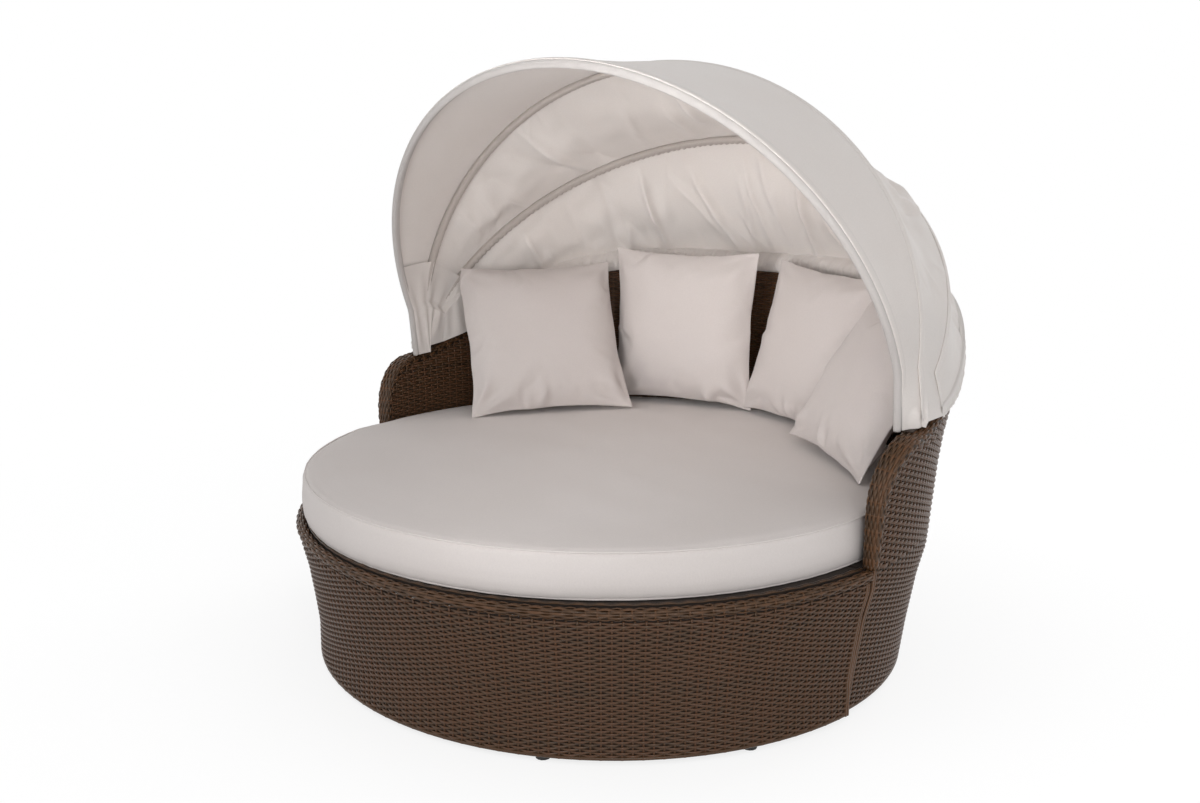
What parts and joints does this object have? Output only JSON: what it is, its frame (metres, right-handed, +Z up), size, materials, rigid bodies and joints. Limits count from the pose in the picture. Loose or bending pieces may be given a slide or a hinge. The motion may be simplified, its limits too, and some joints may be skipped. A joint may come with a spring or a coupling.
{
  "type": "outdoor daybed",
  "caption": "Round wicker patio daybed in a half-round front section and a rear section with a curved back, with a mattress, pillows and a fabric canopy on folding bows.",
  "frame": {"origin": "on the floor, under the middle of the box round the closed daybed with its canopy up", "axes": "+Z up; -Y towards the half-round front section, where a person gets on; +Y towards the curved back; +X towards the right arm as seen from the back; the canopy bows turn about a line along X"},
  "size_m": [1.8528, 1.8546, 1.6161],
  "materials": {
    "wicker": "satin",
    "braid": "satin",
    "frame": "satin",
    "bow": "satin",
    "bracket": "satin",
    "steel": "satin",
    "glide": "matte",
    "canopy_cloth": "matte",
    "mattress_cloth": "matte",
    "pillow_cloth": "matte"
  },
  "bodies": {
    "rear_section": {"rear_frame": "frame", "rear_base_weave": "wicker", "rear_front_panel": "wicker", "rear_deck": "wicker", "back_outer_weave": "wicker", "back_inner_weave": "wicker", "back_edge_braid": "braid", "rear_glide_1": "glide", "rear_glide_2": "glide", "rear_glide_3": "glide", "rear_glide_4": "glide", "pivot_bracket_right": "bracket", "pivot_bracket_left": "bracket", "pivot_bolt_right": "steel", "pivot_bolt_left": "steel", "pivot_nut_right": "steel", "pivot_nut_left": "steel", "pivot_spacer_inner_right": "glide", "pivot_spacer_inner_left": "glide", "pivot_spacer_outer_right": "glide", "pivot_spacer_outer_left": "glide", "bracket_screw_front_right": "steel", "bracket_screw_front_left": "steel", "bracket_screw_rear_right": "steel", "bracket_screw_rear_left": "steel", "canopy_rear_panel": "canopy_cloth", "mattress": "mattress_cloth", "pillow_1": "pillow_cloth", "pillow_2": "pillow_cloth", "pillow_3": "pillow_cloth", "pillow_4": "pillow_cloth"},
    "front_section": {"front_frame": "frame", "front_weave": "wicker", "front_back_panel": "wicker", "front_rim_braid": "braid", "front_deck": "wicker", "front_glide_1": "glide", "front_glide_2": "glide", "front_glide_3": "glide", "front_glide_4": "glide"},
    "rear_bow": {"bow_rear": "bow"},
    "middle_bow": {"bow_middle": "bow", "canopy_top_panel": "canopy_cloth", "canopy_facing_rear_right": "canopy_cloth", "canopy_facing_rear_left": "canopy_cloth"},
    "front_bow": {"bow_front": "bow", "canopy_front_band": "canopy_cloth", "canopy_facing_front_right": "canopy_cloth", "canopy_facing_front_left": "canopy_cloth"}
  },
  "joints": [
    {"name": "front_section_slide", "type": "slide", "parent": "rear_section", "child": "front_section", "axis": [0, -1, 0], "range_m": [0, 0.3]},
    {"name": "rear_bow_hinge", "type": "hinge", "parent": "rear_section", "child": "rear_bow", "pos_m": [0, 0.03475, 0.735], "axis": [1, 0, 0], "range_deg": [-20, 0], "deforming": ["canopy_rear_panel"]},
    {"name": "middle_bow_hinge", "type": "hinge", "parent": "rear_bow", "child": "middle_bow", "pos_m": [0, 0.03475, 0.735], "axis": [1, 0, 0], "range_deg": [-20, 0], "deforming": ["canopy_top_panel", "canopy_facing_rear_right", "canopy_facing_rear_left"]},
    {"name": "front_bow_hinge", "type": "hinge", "parent": "middle_bow", "child": "front_bow", "pos_m": [0, 0.03475, 0.735], "axis": [1, 0, 0], "range_deg": [-20, 0], "deforming": ["canopy_front_band", "canopy_facing_front_right", "canopy_facing_front_left"]}
  ]
}
